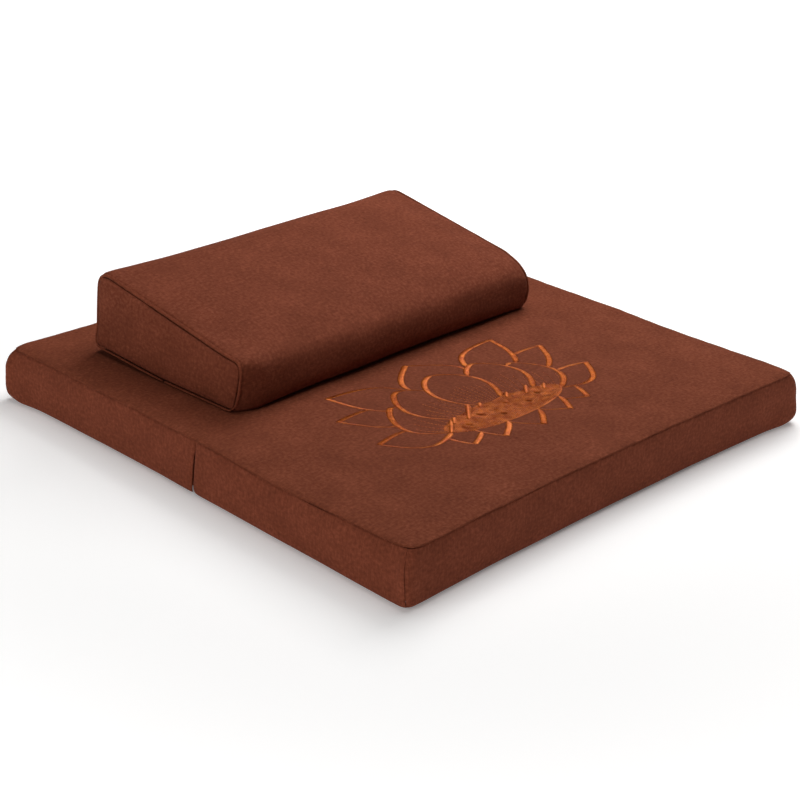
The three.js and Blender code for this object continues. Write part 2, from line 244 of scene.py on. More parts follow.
def cloth_material(name, dark, middle, light, upright):
    """Matt spun linen-look weave. Upright is the share of the upright slubs among all slubs."""
    material, tree = new_material(name)
    weave = add(tree, "UVMap", uv_map="weave")
    in_mm = add(tree, "Mapping", {0: weave, 3: (1000, 1000, 1000)})

    def noise(place, detail, scale, stretch=(1, 1, 1)):
        moved = add(tree, "Mapping", {0: in_mm, 1: place, 3: stretch})
        look = {"Scale": scale, "Detail": detail, "Roughness": NOISE_ROUGH}
        return add(tree, "TexNoise", {0: moved, **look})

    def wave(direction, place):
        moved = add(tree, "Mapping", {0: in_mm, 1: place})
        yarn = {0: moved, "Scale": WAVE_PERIOD / YARN_SPACING}
        waver = {"Distortion": 0.9, "Detail": 1.0, "Detail Scale": 0.12}
        return add(tree, "TexWave", {**yarn, **waver}, bands_direction=direction).outputs["Fac"]

    upright_slubs = noise((11, 11, 11), 2.0, 1.0, (1 / SLUB_WIDE, 1 / SLUB_LONG, 1))
    level_slubs = noise((37, 37, 37), 2.0, 1.0, (1 / SLUB_LONG, 1 / SLUB_WIDE, 1))
    slubs = mixed(tree, upright, level_slubs, upright_slubs)
    flecks = noise((5, 10, 0), 3.0, 1 / FLECK_SIZE)
    patches = noise((3, 6, 0), 2.0, 1 / PATCH_SIZE)
    yarn_tone = mixed(tree, PATCH_SHARE, mixed(tree, FLECK_SHARE, slubs, flecks), patches)
    ramp = add(tree, "ValToRGB", {0: add(tree, "MapRange", {0: yarn_tone, 1: TONE_FROM, 2: TONE_TO})})
    stops = ramp.color_ramp.elements
    stops[0].color, stops[1].color = linear(dark), linear(light)
    stops.new(0.5).color = linear(middle)

    yarns = add(tree, "Math", {0: wave("X", (0, 0, 0)), 1: wave("Y", (2, 2, 0))}, operation="MULTIPLY")
    woven = add(tree, "Bump", {"Height": yarns, "Distance": WEAVE_DEPTH, "Strength": 1.0})
    shade(tree, {
        "Base Color": ramp,
        "Roughness": 0.92,
        "IOR": 1.46,
        "Specular IOR Level": 0.1,
        "Sheen Weight": 0.04,
        "Sheen Roughness": 0.5,
        "Sheen Tint": linear("#b98a70"),
        "Normal": add(
            tree, "Bump", {"Height": slubs, "Distance": SLUB_DEPTH, "Strength": 1.0, "Normal": woven},
        ),
    })
    return material


MAT_CLOTH = cloth_material("brown_linen_look_top", "#5b2c1d", "#743b27", "#8e4d37", 0.5)
# The side strips get a lighter copy of the top cloth's colours. This is painted light that lifts the
# sides, which the lamps light less. On the real mat it is the same cloth.
BAND_CLOTH_WITH_PAINTED_LIGHT = cloth_material("brown_linen_look_band", "#602f1f", "#7b3e2a", "#954f39", 0.75)
WEDGE_CLOTH = cloth_material("brown_linen_look_wedge", "#5c2d1d", "#753b28", "#904e38", 0.5)
# The welt's colours are a little lighter than the wedge's. This is a painted highlight, so that the thin
# ridge at the foot shows light. On the real wedge it is the same cloth.
WELT_CLOTH_WITH_PAINTED_HIGHLIGHT = cloth_material("brown_linen_look_welt", "#5f2f1e", "#793d29", "#934f38", 0.5)
print("cloth materials:", [m.name for m in bpy.data.materials if m.name.startswith("brown")])

# %% [markdown]
# Every soft piece starts from the solid that the frame holds for it, so it can't be in the wrong
# place. The copy is made ready for soft work: its loose triangles are merged and paired into squares,
# and long squares are halved until they are about even. An operator acts on all that is selected,
# so the piece is always made the only selected one first.

# %% Cutting pieces from the frame
MERGE = 0.01 * MM
PAIR_ANGLE = math.radians(60)


def only(piece):
    """Makes a piece the one thing that operators act on."""
    bpy.ops.object.select_all(action="DESELECT")
    piece.select_set(True)
    bpy.context.view_layer.objects.active = piece


def cut_from(node, name):
    """A new piece with the shape of a frame node, in squares."""
    piece = into_scene(name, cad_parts[node].data.copy())
    piece.data.materials.clear()
    only(piece)
    bpy.ops.mesh.customdata_custom_splitnormals_clear()
    bpy.ops.object.mode_set(mode="EDIT")
    bpy.ops.mesh.select_all(action="SELECT")
    bpy.ops.mesh.remove_doubles(threshold=MERGE)
    bpy.ops.mesh.tris_convert_to_quads(face_threshold=PAIR_ANGLE, shape_threshold=PAIR_ANGLE)
    bpy.ops.object.mode_set(mode="OBJECT")
    return piece


def cut_long_edges(piece, longest):
    """Halves every edge that is longer than a length, again and again."""
    only(piece)
    bpy.ops.object.mode_set(mode="EDIT")
    bpy.ops.mesh.select_mode(type="EDGE")
    while True:
        mesh = bmesh.from_edit_mesh(piece.data)
        for edge in mesh.edges:
            edge.select_set(edge.calc_length() > longest)
        if not any(edge.select for edge in mesh.edges):
            break
        bmesh.update_edit_mesh(piece.data)
        bpy.ops.mesh.subdivide(number_cuts=1)
    bpy.ops.object.mode_set(mode="OBJECT")


def smooth_surface(piece):
    """Rounds a piece with one level of Subdivision Surface and applies it."""
    only(piece)
    modifier = piece.modifiers.new("rounded", "SUBSURF")
    modifier.levels = modifier.render_levels = 1
    bpy.ops.object.modifier_apply(modifier=modifier.name)
    bpy.ops.object.shade_smooth()


def numbers(elements, name, wide=3, kind=np.float32):
    """One property of all the points, faces or corners of a mesh, one row each."""
    flat = np.empty(len(elements) * wide, kind)
    elements.foreach_get(name, flat)
    return flat.reshape(-1, wide)


def places_of(piece):
    """The places of a mesh's points."""
    return numbers(piece.data.vertices, "co").astype(float)


def normals_of(piece):
    """The outward direction at each point."""
    return numbers(piece.data.vertex_normals, "vector").astype(float)


def put(piece, places):
    """Moves a mesh's points to new places."""
    piece.data.vertices.foreach_set("co", places.astype(np.float32).ravel())
    piece.data.update()


def count(piece):
    """Triangles of a piece."""
    return sum(len(face.vertices) - 2 for face in piece.data.polygons)


# %% [markdown]
# Cloth is never quite even. These two functions bend a surface a little: lumps is smooth noise of a
# chosen size, the same on each run, and fade goes softly from 1 at a line to 0 at a distance from it.

# %% Lumps and fades
LATTICE = 24


def lumps(places, size, seed):
    """Smooth noise from -1 to 1 at each place, in lumps of about one size."""
    grid = np.random.default_rng(seed).uniform(-1, 1, (LATTICE, LATTICE, LATTICE))
    cell = places / size + LATTICE / 2
    corner = np.floor(cell).astype(int)
    share = cell - corner
    share = share * share * (3 - 2 * share)
    total = np.zeros(len(places))
    for step in np.ndindex(2, 2, 2):
        at = (corner + step) % LATTICE
        weight = np.prod(np.where(step, share, 1 - share), axis=1)
        total += weight * grid[at[:, 0], at[:, 1], at[:, 2]]
    return total


def fade(distance, width):
    """1 at distance 0, and 0 from the width on."""
    t = np.clip(distance / width, 0, 1)
    return 1 - t * t * (3 - 2 * t)


# %% [markdown]
# The weave has to run straight along each face of a piece. An unwrap could do it. These pieces are
# boxy, so each face is simply projected along the axis that it looks along most, in metres. The wedge
# lies turned by a small angle, and its map is turned with it.

# %% Laying the weave on a piece
def lay_weave(piece, turned=0.0):
    """Writes the weave map: real metres along and up each face of the piece."""
    mesh = piece.data
    while mesh.uv_layers:
        mesh.uv_layers.remove(mesh.uv_layers[0])
    layer = mesh.uv_layers.new(name="weave")
    turn = np.array(Matrix.Rotation(-turned, 3, "Z"))
    corners = numbers(mesh.loops, "vertex_index", 1, np.int32)[:, 0]
    places = (places_of(piece) @ turn.T)[corners]
    facing = np.abs(numbers(mesh.polygons, "normal") @ turn.T).argmax(axis=1)
    facing = np.repeat(facing, numbers(mesh.polygons, "loop_total", 1, np.int32)[:, 0])
    along = np.where(facing == 0, places[:, 1], places[:, 0])
    up = np.where(facing == 2, places[:, 1], places[:, 2])
    layer.data.foreach_set("uv", np.stack([along, up], axis=1).astype(np.float32).ravel())


def dress(piece, material, slot, *nodes):
    """Gives a finished piece its material, its body and the nodes that it stands for. The slot is not
    used.
    """
    piece.data.materials.clear()
    piece.data.materials.append(material)
    if nodes:
        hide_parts(*nodes)
    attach(piece, "root")


def clothe(piece, places, material, slot, node, turned=0.0):
    """Moves a piece's points to their last places, lays the weave on it and dresses it."""
    put(piece, places)
    lay_weave(piece, turned)
    dress(piece, material, slot, node)
    print(piece.name, "has", count(piece), "triangles")


# %% [markdown]
# The mat's corners aren't all alike as it lies. All but the nearest one have settled outwards, most of
# all at the foot, droop at the top and ride up a little at the foot. One function bends the pads, the top
# cloth and the side strips there together, so that they stay on each other. The top cloth's tips are
# also rounded off, or they would stand out over the strips.

# %% Corners of the mat
CORNER_REACH, TIP_REACH = 60 * MM, 26 * MM
CORNER_HEIGHTS = [0, 0.2, 0.5, 0.85, 0.94, 1]
CORNERS = [
    # side in x, side in y, mm out at each of the heights above, mm of droop, mm of lift at the foot
    (-1, 1, [6.5, 5.4, 4.0, 4.2, 3.8, 1.5], 2.0, 4.5),
    (1, -1, [4.5, 4.6, 1.2, 0.4, -0.6, -2.0], 0.6, 3.0),
    (1, 1, [4.5, 4.5, 2.0, 1.5, 1.0, 0.0], 2.0, 3.0),
    (-1, -1, [0, 0, 0, 0, 0, 0], 0, 0),
]
TIP_IN = 2.2 * MM
mat_low, mat_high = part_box("mat_top_panel")
SEAM_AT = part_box("front_half_front_band")[1].z


def from_corner(places):
    """How far each place is from the nearest corner of the mat, seen from above."""
    reach = np.array(mat_high)[:2] - np.abs(places[:, :2])
    return np.hypot(reach[:, 0], reach[:, 1])


def settle_corners(places, tip_in=0):
    """Lets the mat's corners out at the foot and down at the top. Tip in rounds a corner off."""
    settled = places.copy()
    far = from_corner(places)
    near, near_tip = fade(far, CORNER_REACH), fade(far, TIP_REACH)
    height = np.clip(places[:, 2] / SEAM_AT, 0, 1)
    for side_x, side_y, out_mm, droop_mm, lift_mm in CORNERS:
        here = (places[:, 0] * side_x > 0) & (places[:, 1] * side_y > 0)
        out = np.interp(height, CORNER_HEIGHTS, out_mm) * MM * near - tip_in * near_tip
        settled[:, 0] += side_x * out * here / math.sqrt(2)
        settled[:, 1] += side_y * out * here / math.sqrt(2)
        settled[:, 2] -= droop_mm * MM * near_tip * here * height ** 2
        settled[:, 2] += lift_mm * MM * near_tip * here * (1 - height) ** 2
    return settled


print("the mat's corners are", [round(v / MM) for v in mat_high[:2]], "mm from its middle")

# %% [markdown]
# Each half of the mat is a filled pad. It could be a plain block, since cloth covers all but its
# underside. But its underside and the inside of the slit show, so it is puffed up: the copy is
# remeshed into even squares, Blender's cloth blows it up like a balloon for 20 frames with no
# gravity, and then every point is held within a few millimetres of where it began, so that the
# filling stays inside its cover. Where the pad stands on the floor it is flat.

# %% Puffing up a filled piece
FRAMES = 20
PRESSURE = 4
STIFFNESS = 15


def puff(piece, most, pinned=None):
    """Blows a closed mesh up with cloth, and holds each point within a distance of its start."""
    start = places_of(piece)
    only(piece)
    cloth = piece.modifiers.new("filling", "CLOTH")
    cloth.settings.use_pressure = True
    cloth.settings.uniform_pressure_force = PRESSURE
    cloth.settings.tension_stiffness = cloth.settings.compression_stiffness = STIFFNESS
    cloth.settings.effector_weights.gravity = 0
    cloth.collision_settings.use_collision = False
    cloth.point_cache.frame_start = 1
    cloth.point_cache.frame_end = FRAMES
    if pinned is not None:
        group = piece.vertex_groups.new(name="held")
        for weight in np.unique(pinned):
            members = np.flatnonzero(pinned == weight).tolist()
            group.add(members, float(weight), "REPLACE")
        cloth.settings.vertex_group_mass = group.name
    for step in range(1, FRAMES + 1):
        bpy.context.scene.frame_set(step)
    bpy.ops.object.modifier_apply(modifier=cloth.name)
    bpy.context.scene.frame_set(1)
    moved = places_of(piece) - start
    far = np.linalg.norm(moved, axis=1)
    held = moved * np.minimum(1, most / np.maximum(far, 1e-9))[:, None]
    put(piece, start + held)
    print(piece.name, "swelled by", round(far.max() / MM, 1), "mm, held at", round(most / MM, 1))


PAD_VOXEL = 8 * MM
PAD_START_INSET = 1.6 * MM
PAD_SWELL = 1.3 * MM


def mat_pad(node, name):
    """One filled half of the mat."""
    pad = cut_from(node, name)
    only(pad)
    remesh = pad.modifiers.new("even", "REMESH")
    remesh.mode = "VOXEL"
    remesh.voxel_size = PAD_VOXEL
    bpy.ops.object.modifier_apply(modifier=remesh.name)
    put(pad, places_of(pad) - PAD_START_INSET * normals_of(pad))
    puff(pad, PAD_SWELL)
    smooth_surface(pad)
    places = places_of(pad)
    places[:, 2] = np.clip(places[:, 2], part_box(node)[0].z, None)
    clothe(pad, settle_corners(places), MAT_CLOTH, "mat_cloth", node)
    return pad


front_pad = mat_pad("mat_front_pad", "front_filled_half")
rear_pad = mat_pad("mat_rear_pad", "rear_filled_half")

# %% [markdown]
# The top cloth is one sheet, drawn tight over both halves, and it is also the hinge. Its edge rolls
# down into the seam. A flat grid could be bent into that shape. The frame's sheet already has it, so
# the copy is only cut finer and rounded, and then it gets what the filling and the needle do to it:
# long shallow lumps, a rim drawn down onto the side strips, a seam line that wanders, and small puckers
# where the seam pulls. How far a point is from the rim is measured to the sheet's own outline, because
# the front of the mat is pulled in a little.

# %% Top cloth
EVEN = 10.5 * MM
LUMP_SIZE, LUMP_HEIGHT = 85 * MM, 0.7 * MM
SMALL_LUMP_SIZE, SMALL_LUMP_HEIGHT = 32 * MM, 0.16 * MM
PUCKER_SIZE, PUCKER_DEPTH, PUCKER_WIDTH = 13 * MM, 0.35 * MM, 13 * MM
WANDER_SIZE, WANDER_HEIGHT, WANDER_REACH = 60 * MM, 0.7 * MM, 22 * MM
RIM_DOWN, RIM_ROLL = 1.0 * MM, 6.5 * MM
RIM_FACING = 0.35
RIM_BAND = 45 * MM


def seam_wander(places):
    """How far the top seam wanders up or down from its level at each place."""
    near = fade(np.abs(places[:, 2] - SEAM_AT), WANDER_REACH)
    return WANDER_HEIGHT * lumps(places * (1, 1, 0), WANDER_SIZE, seed=8) * near


def rim_outline(places, normals):
    """The points of a flat sheet's rim, in order round it, seen from above."""
    rim = places[np.abs(normals[:, 2]) < RIM_FACING][:, :2]
    return rim[np.argsort(np.arctan2(rim[:, 1], rim[:, 0]))]


def from_rim(places, outline):
    """How far each place is from an outline, seen from above. Places far inside count as far."""
    to_low = places[:, :2] - np.array(mat_low)[:2]
    to_high = np.array(mat_high)[:2] - places[:, :2]
    far = np.minimum(to_low, to_high).min(axis=1)
    near = far < RIM_BAND
    run = np.roll(outline, -1, axis=0) - outline
    gap = places[near, None, :2] - outline[None]
    share = (gap * run).sum(axis=2) / np.maximum((run ** 2).sum(axis=1), 1e-12)
    gap -= np.clip(share, 0, 1)[:, :, None] * run
    far[near] = np.sqrt((gap ** 2).sum(axis=2).min(axis=1))
    return far


top_sheet = cut_from("mat_top_panel", "top_cloth")
cut_long_edges(top_sheet, EVEN)
smooth_surface(top_sheet)
places, normals = places_of(top_sheet), normals_of(top_sheet)
inward = from_rim(places, rim_outline(places, normals))
rim, flat = fade(inward, WANDER_REACH), places * (1, 1, 0)
height = LUMP_HEIGHT * lumps(flat, LUMP_SIZE, seed=1) * (1 - rim)
height += SMALL_LUMP_HEIGHT * lumps(flat, SMALL_LUMP_SIZE, seed=2)
puckers = lumps(flat, PUCKER_SIZE, seed=3) * fade(inward, PUCKER_WIDTH)
height += PUCKER_DEPTH * puckers
places[:, 2] += height * np.abs(normals[:, 2])
places[:, 2] += seam_wander(places) * rim - RIM_DOWN * fade(inward, RIM_ROLL)
clothe(top_sheet, settle_corners(places, TIP_IN), MAT_CLOTH, "mat_cloth", "mat_top_panel")
size = mat_high - mat_low

# %% [markdown]
# Six strips of the same cloth make the sides. On the real mat they are cut as straight strips and
# sewn between the top and the underside. They belly out a little with the filling and pucker along
# the top seam. The front and back strips reach a little way round each corner of the mat, where they
# meet the side strips in an upright seam. Their ends there are creased before the strip is rounded, or
# a gap would open. Then they are slid round the corner, further at the top than at the foot, until they
# lap over each other by a hair, and drawn in along the seam. At the slit the ends roll inwards instead,
# and the last few millimetres under the top seam are drawn together by the stitches that close it.

# %% Side bands
BAND_LUMP_SIZE, BAND_LUMP_DEPTH = 70 * MM, 0.8 * MM
BAND_PUCKER_DEPTH = 0.45 * MM
BAND_PUCKER_REACH, BAND_PUCKER_TALL = 20 * MM, (1, 1, 0.4)
BAND_EVEN = 7 * MM
CORNER_NEAR = 32 * MM
CORNER_FACING = 0.8
SLIT_AT, SLIT_LEAN = -9 * MM, 5 * MM
SLIT_NEAR, SLIT_ROLL, SLIT_ROLL_WIDTH = 16 * MM, 1.6 * MM, 5 * MM
SLIT_SEWN = 12 * MM
SLIT_HEIGHTS = np.array([0, 2, 4, 8, 20, 50, 61, 70]) * MM
SLIT_CLOSE = np.array([4.4, 3.2, 2.6, 2.0, 1.6, 1.6, 2.5, 2.7]) * MM
BAND_UP, BAND_UP_REACH = 0.75 * MM, 8 * MM
CORNER_ROUND = 12 * MM
SLIDE_LOW, SLIDE_HIGH, SLIDE_NEAR = 0.5 * MM, 3.5 * MM, 34 * MM
MEET, MEET_ENDS, MEET_ENDS_REACH, MEET_NEAR = 0.14 * MM, 1.2 * MM, 12 * MM, 20 * MM
LAP = 0.3 * MM
SEAM_DEEP, SEAM_WIDE = 0.5 * MM, 3.2 * MM
TIGHTER, TIGHTER_REACH, TIGHTER_FLAT = 1.6 * MM, 11 * MM, 0.7


def crease_corner_ends(strip):
    """Creases the rims of the faces with which a strip ends at the mat's corners."""
    mesh = bmesh.new()
    mesh.from_mesh(strip.data)
    crease = mesh.edges.layers.float.new("crease_edge")
    corner = (mat_high - mat_low) / 2
    ends = set()
    for face in mesh.faces:
        at, facing = face.calc_center_median(), face.normal
        away_from_corner = math.hypot(corner.x - abs(at.x), corner.y - abs(at.y))
        across = (facing.x * math.copysign(1, at.x) - facing.y * math.copysign(1, at.y)) / math.sqrt(2)
        if away_from_corner < CORNER_NEAR and abs(across) > CORNER_FACING:
            ends.add(face)
    for edge in mesh.edges:
        if len(ends.intersection(edge.link_faces)) == 1:
            edge[crease] = 1.0
    mesh.to_mesh(strip.data)
    mesh.free()
    return len(ends)


def from_slit(places):
    """How far behind the slit each place is. The slit leans back at its foot."""
    return places[:, 1] - SLIT_AT - SLIT_LEAN * (1 - places[:, 2] / SEAM_AT)


def close_slit(places, direction):
    """Rolls the ends of the side strips into the slit and draws them together under the seam."""
    if direction[0] == 0:
        return places
    behind = from_slit(places)
    sewn = fade(SEAM_AT - places[:, 2], SLIT_SEWN)
    close = np.interp(places[:, 2], SLIT_HEIGHTS, SLIT_CLOSE) * fade(np.abs(behind), SLIT_NEAR)
    roll = SLIT_ROLL * (1 - sewn) * fade(np.abs(behind), SLIT_ROLL_WIDTH)
    closed = places - roll[:, None] * direction
    closed[:, 1] -= np.sign(behind) * close
    return closed


def slide_round_corner(places):
    """Slides the strips' ends round the corners, onto the mat's left and right sides."""
    half = np.where(places[:, :2] > 0, np.array(mat_high)[:2], -np.array(mat_low)[:2])
    u, v = (np.abs(places[:, :2]) - half + CORNER_ROUND).T
    quarter = CORNER_ROUND * math.pi / 4
    on_arc, on_end = (u > 0) & (v > 0), u <= 0
    along = np.where(on_end, quarter - u, v - quarter)
    along = np.where(on_arc, quarter - CORNER_ROUND * np.arctan2(u, v), along)
    out = np.where(on_arc, np.hypot(u, v), np.where(on_end, v, u))
    far, height = np.abs(along), places[:, 2] / SEAM_AT
    slide = SLIDE_LOW + (SLIDE_HIGH - SLIDE_LOW) * height
    at_ends = fade(places[:, 2], MEET_ENDS_REACH) + fade(SEAM_AT - places[:, 2], MEET_ENDS_REACH)
    meet = np.minimum(MEET + MEET_ENDS * at_ends, far + LAP)
    moved = along - slide * fade(far, SLIDE_NEAR) - np.sign(along) * meet * fade(far, MEET_NEAR)
    middle = np.sin(math.pi * np.clip(height, 0, 1)) ** TIGHTER_FLAT
    out += TIGHTER * middle * fade(far, TIGHTER_REACH) - SEAM_DEEP * fade(far, SEAM_WIDE)
    turn, before, after = (quarter - moved) / CORNER_ROUND, moved < -quarter, moved > quarter
    u = np.where(after, quarter - moved, np.where(before, out, out * np.sin(turn)))
    v = np.where(after, out, np.where(before, moved + quarter, out * np.cos(turn)))
    slid, near, sign = places.copy(), far < SLIDE_NEAR, np.where(places[:, :2] > 0, 1, -1)
    slid[near, :2] = (sign * (np.stack([u, v], axis=1) + half - CORNER_ROUND))[near]
    return slid


def side_band(node):
    """One strip of the side, from its node, with the pad that it lies against."""
    strip = cut_from(node, node.replace("_half", "") + "_cloth")
    creased = crease_corner_ends(strip)
    cut_long_edges(strip, BAND_EVEN)
    smooth_surface(strip)
    places = places_of(strip)
    low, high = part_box(node)
    size, middle = high - low, low + high
    axis = int(size.x > size.y)
    direction = np.eye(3)[axis] * math.copysign(1, middle[axis])
    out = BAND_LUMP_DEPTH * lumps(places, BAND_LUMP_SIZE, seed=21)
    pulled = fade(SEAM_AT - places[:, 2], BAND_PUCKER_REACH)
    out += BAND_PUCKER_DEPTH * lumps(places * BAND_PUCKER_TALL, PUCKER_SIZE, seed=22) * pulled
    free = 1 - fade(from_corner(places), CORNER_NEAR)
    places += (out * free)[:, None] * direction
    places = slide_round_corner(close_slit(places, direction))
    places[:, 2] += seam_wander(places) + BAND_UP * fade(SEAM_AT - places[:, 2], BAND_UP_REACH)
    clothe(strip, settle_corners(places), BAND_CLOTH_WITH_PAINTED_LIGHT, "band_cloth", node)
    print(creased, "of its end faces were creased")


for node in sorted(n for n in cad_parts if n.endswith("_band")):
    side_band(node)

# %% [markdown]
# The wedge is the seat: one filled piece whose cloth wraps its top, front, back and underside. A
# voxel remesh would eat the small roll at each end where the end pieces are sewn in, so this copy
# keeps its own squares, cut even. Then it is puffed up like the halves, with its two ends held still,
# because the welts and the end pieces hold them on the real one. It doesn't lie quite regular: its front
# edge is full and set forward, its left front corner is drawn back, its right one is pressed down and in,
# and its back left foot stands off the mat. One function bends the wedge, its ends and its welts so.

# %% Wedge
WEDGE_TURN = math.radians(1.9)
WEDGE_EVEN = 12 * MM
WEDGE_HELD, WEDGE_LUMPS_FROM = 16 * MM, 6 * MM
WEDGE_SWELL = 2.0 * MM
WEDGE_START_INSET = 0.5 * MM
WEDGE_LUMP_SIZE, WEDGE_LUMP_HEIGHT = 75 * MM, 0.9 * MM
WEDGE_FRONT_HIGH = 63 * MM
SQUARE, SQUARE_REACH = 5 * MM, 34 * MM
FORWARD_LEFT, FORWARD_RIGHT, FORWARD_REACH = 1.5 * MM, 4 * MM, 80 * MM
DRAWN_TOP, DRAWN_FOOT, DRAWN_REACH = 5.5 * MM, 10 * MM, 34 * MM
FOOT_OUT, FOOT_IN = 2.5 * MM, 2.5 * MM
PRESSED_DOWN, PRESSED_IN, PRESSED_REACH = 5.5 * MM, 4 * MM, 52 * MM
LIFTED, LIFTED_ALONG, LIFTED_DEEP, LIFTED_HIGH = 6.5 * MM, 90 * MM, 140 * MM, 55 * MM
wedge_turn = np.array(Matrix.Rotation(-WEDGE_TURN, 3, "Z"))


def wedge_frame(places):
    """Places turned so that the wedge's length runs along X."""
    return places @ wedge_turn.T


wedge_solid = wedge_frame(places_of(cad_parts["wedge_pad"]))
(left, front, foot), (right, back, _) = wedge_solid.min(axis=0), wedge_solid.max(axis=0)


def from_wedge_end(places):
    """How far each place is from the wedge's nearer end, along its length."""
    along = wedge_frame(places)[:, 0]
    return np.minimum(along - left, right - along)


def shape_wedge(places):
    """Bends the wedge, or a piece sewn to it, into the shape in which it lies."""
    turned = wedge_frame(places)
    from_left, from_right = turned[:, 0] - left, right - turned[:, 0]
    deep, high = turned[:, 1] - front, turned[:, 2] - foot
    from_edge = np.hypot(deep, high - WEDGE_FRONT_HIGH)
    near_left, near_right = fade(from_left, DRAWN_REACH), fade(from_right, DRAWN_REACH)
    fuller = SQUARE * fade(from_edge, SQUARE_REACH) / math.sqrt(2)
    forward = np.interp(from_left, [0, right - left], [FORWARD_LEFT, FORWARD_RIGHT])
    drawn = np.interp(high, [0, WEDGE_FRONT_HIGH], [DRAWN_FOOT, DRAWN_TOP])
    pressed = fade(from_right, PRESSED_REACH) * fade(from_edge, PRESSED_REACH)
    turned[:, 0] -= PRESSED_IN * pressed
    turned[:, 0] -= fade(high, DRAWN_REACH) * (FOOT_IN * near_right + FOOT_OUT * near_left)
    turned[:, 1] -= fuller + forward * fade(deep, FORWARD_REACH)
    turned[:, 1] += drawn * near_left * fade(deep, DRAWN_REACH)
    lift = fade(from_left, LIFTED_ALONG) * fade(back - front - deep, LIFTED_DEEP)
    turned[:, 2] += fuller + LIFTED * (lift * fade(high, LIFTED_HIGH)) - PRESSED_DOWN * pressed
    return turned @ wedge_turn


wedge = cut_from("wedge_pad", "wedge_cushion")
cut_long_edges(wedge, WEDGE_EVEN)
places = places_of(wedge)
free = 1 - fade(from_wedge_end(places) - WEDGE_HELD, 2 * WEDGE_HELD)
put(wedge, places - (WEDGE_START_INSET * free)[:, None] * normals_of(wedge))
puff(wedge, WEDGE_SWELL, pinned=np.round(1 - free, 1))
smooth_surface(wedge)
places, normals = places_of(wedge), normals_of(wedge)
free = 1 - fade(from_wedge_end(places) - WEDGE_LUMPS_FROM, 2 * WEDGE_HELD)
height = WEDGE_LUMP_HEIGHT * lumps(places, WEDGE_LUMP_SIZE, seed=31) * free
places += height[:, None] * normals
places[:, 2] = np.clip(places[:, 2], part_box("wedge_pad")[0].z, None)
clothe(wedge, shape_wedge(places), WEDGE_CLOTH, "wedge_cloth", "wedge_pad", WEDGE_TURN)

# %% [markdown]
# Each end of the wedge is closed by a cut piece of cloth. It could be a flat face. The frame's piece
# already has the right outline, so the copy is cut finer, gets a few lumps, and has its rim let out a
# little until it touches the seam.

# %% Wedge ends
END_EVEN = 12 * MM
END_RIM_OUT = 0.8 * MM
END_LUMP_SIZE, END_LUMP_DEPTH, END_LUMP_EDGE = 60 * MM, 0.7 * MM, 16 * MM


def wedge_outward(places):
    """The direction along the wedge that points away from its middle at a piece."""
    return np.array([math.copysign(1, places[:, 0].mean()), 0, 0]) @ wedge_turn


def wedge_end(node):
    """The cut piece that closes one end of the wedge."""
    end = cut_from(node, node + "_cloth")
    cut_long_edges(end, END_EVEN)
    smooth_surface(end)
    places = places_of(end)
    facing = wedge_frame(normals_of(end))
    along, around = facing * (1, 0, 0) @ wedge_turn, facing * (0, 1, 1) @ wedge_turn
    low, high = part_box(node)
    rim = np.linalg.norm(around, axis=1) > np.linalg.norm(along, axis=1)
    middle = 1 - fade(np.minimum(places[:, 2] - low.z, high.z - places[:, 2]), END_LUMP_EDGE)
    out = END_LUMP_DEPTH * lumps(places, END_LUMP_SIZE, seed=51) * middle
    places += out[:, None] * wedge_outward(places)
    places = shape_wedge(places + END_RIM_OUT * rim[:, None] * around)
    clothe(end, places, WEDGE_CLOTH, "wedge_cloth", node, WEDGE_TURN)


wedge_end("wedge_left_end")
wedge_end("wedge_right_end")

# %% [markdown]
# A narrow welt of the same cloth is sewn into the seam round each end. It hardly stands proud: it lies
# pressed between the end piece and the wrap. A bent tube could be laid there. The frame's welt is
# filled out and pushed into the seam until the three touch, as sewn cloth does. At the foot the weight
# of the wedge squeezes it outwards, where it shows as a thin ridge.

# %% Welts
WELT_FILLED, WELT_PUSHED = 0.45 * MM, 1.3 * MM
WELT_FOOT_THIN = 1.1 * MM
WELT_PUCKER_SIZE, WELT_PUCKER = 11 * MM, 0.18 * MM
WELT_FOOT_OUT, WELT_FOOT_REACH = 3.1 * MM, 8 * MM


def wedge_welt(node):
    """The welt in the seam round one end of the wedge."""
    welt = cut_from(node, node + "_cloth")
    smooth_surface(welt)
    places, normals = places_of(welt), normals_of(welt)
    at_foot = fade(places[:, 2] - places[:, 2].min(), WELT_FOOT_REACH)
    puckers = WELT_PUCKER * lumps(places, WELT_PUCKER_SIZE, seed=61)
    filled = WELT_FILLED - WELT_FOOT_THIN * at_foot + puckers
    push = WELT_PUSHED - WELT_FOOT_OUT * at_foot
    places = places + filled[:, None] * normals - push[:, None] * wedge_outward(places)
    clothe(welt, shape_wedge(places), WELT_CLOTH_WITH_PAINTED_HIGHLIGHT, "welt_cloth", node, WEDGE_TURN)


wedge_welt("wedge_left_welt")
wedge_welt("wedge_right_welt")

# %% [markdown]
# The lotus is machine embroidery in silky orange thread. Each line of it is satin stitch: short
# threads laid side by side across the line, a little raised in the middle. A bump pattern would look
# flat from close by, so real threads are laid. One thread is modelled: a bar with three sides, cut
# into five lengths and bowed up. Real threads lie 0.4 mm apart. These lie 0.85 mm apart, to keep the
# number of triangles down, and they are as much wider.

# %% One stitch
THREAD_WIDE, THREAD_HIGH = 1.05 * MM, 0.36 * MM
SATIN_BOW = 0.55 * MM
SUNK = 0.18 * MM
STITCH_CUTS = (-0.34, -0.14, 0.14, 0.34)
ABOVE = 0.2  # the height from which rays look for the cloth

